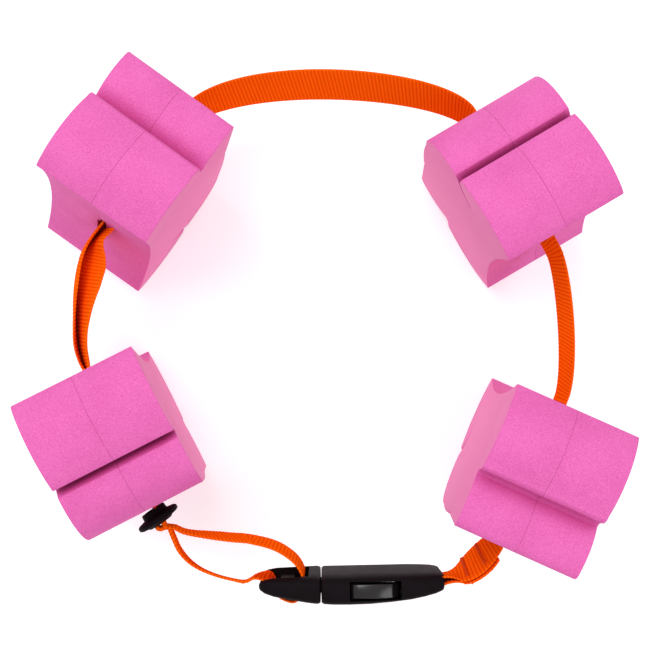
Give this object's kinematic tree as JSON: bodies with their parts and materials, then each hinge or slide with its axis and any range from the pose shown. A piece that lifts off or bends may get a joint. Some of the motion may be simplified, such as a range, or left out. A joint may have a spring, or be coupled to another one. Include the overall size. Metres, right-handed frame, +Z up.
{
  "type": "swim flotation belt",
  "caption": "Swimming flotation belt: lobed foam floats threaded on a flat webbing strap, closed into a ring by a side-release buckle with an adjuster loop and keeper.",
  "frame": {"origin": "centre of the bounding box at floor level; the belt stands on edge as an open ring", "axes": "+Z up, +X to the right and -Y towards the buckle, seen from above"},
  "size_m": [0.2982, 0.2678, 0.1322],
  "materials": {
    "foam": "fine-grained closed-cell polyethylene foam, satin-matt",
    "webbing": "ribbed woven polypropylene webbing",
    "thread": "bar-tacked polyester thread",
    "black_plastic": "moulded black acetal, semi-gloss"
  },
  "bodies": {
    "belt": {"webbing_main": "webbing", "webbing_adjuster_loop": "webbing", "buckle_socket": "black_plastic", "lap_tack_1_outer": "thread", "lap_tack_1_inner": "thread", "lap_tack_2_outer": "thread", "lap_tack_2_inner": "thread"},
    "float_1": {"float_1_outer_slab": "foam", "float_1_inner_slab": "foam"},
    "float_2": {"float_2_outer_slab": "foam", "float_2_inner_slab": "foam"},
    "float_3": {"float_3_outer_slab": "foam", "float_3_inner_slab": "foam"},
    "float_4": {"float_4_outer_slab": "foam", "float_4_inner_slab": "foam"},
    "keeper": {"keeper_disc": "black_plastic"},
    "plug": {"buckle_plug": "black_plastic"},
    "arm_upper": {"release_arm_upper": "black_plastic"},
    "arm_lower": {"release_arm_lower": "black_plastic"}
  },
  "joints": [
    {"name": "float_1_slide", "type": "slide", "parent": "belt", "child": "float_1", "axis": [-0.5488, -0.7939, 0.2618], "range_m": [-0.008, 0.008]},
    {"name": "float_2_slide", "type": "slide", "parent": "belt", "child": "float_2", "axis": [0.5058, -0.8563, 0.1045], "range_m": [-0.008, 0.008]},
    {"name": "float_3_slide", "type": "slide", "parent": "belt", "child": "float_3", "axis": [0.4056, 0.914, -0.0105], "range_m": [-0.004, 0.008]},
    {"name": "float_4_slide", "type": "slide", "parent": "belt", "child": "float_4", "axis": [-0.4531, 0.8915, -0.0069], "range_m": [0, 0.008]},
    {"name": "keeper_slide", "type": "slide", "parent": "belt", "child": "keeper", "axis": [0.4531, -0.8915, 0.0069], "range_m": [0, 0.004], "deforming": ["webbing_adjuster_loop"]},
    {"name": "plug_slide", "type": "slide", "parent": "belt", "child": "plug", "axis": [-0.9998, -0.0175, 0], "range_m": [0, 0.045], "deforming": ["webbing_adjuster_loop", "release_arm_upper", "release_arm_lower"]},
    {"name": "arm_upper_squeeze", "type": "hinge", "parent": "plug", "child": "arm_upper", "pos_m": [0.00244, -0.12413, 0.07345], "axis": [-0.0174, 0.9952, -0.0958], "range_deg": [0, 8], "stiffness_Nm_per_rad": 0.2},
    {"name": "arm_lower_squeeze", "type": "hinge", "parent": "plug", "child": "arm_lower", "pos_m": [0.00248, -0.12634, 0.05055], "axis": [0.0174, -0.9952, 0.0958], "range_deg": [0, 8], "stiffness_Nm_per_rad": 0.2}
  ],
  "couplings": [
    {"joint": "arm_lower_squeeze", "follows": "arm_upper_squeeze", "ratio": 1}
  ]
}
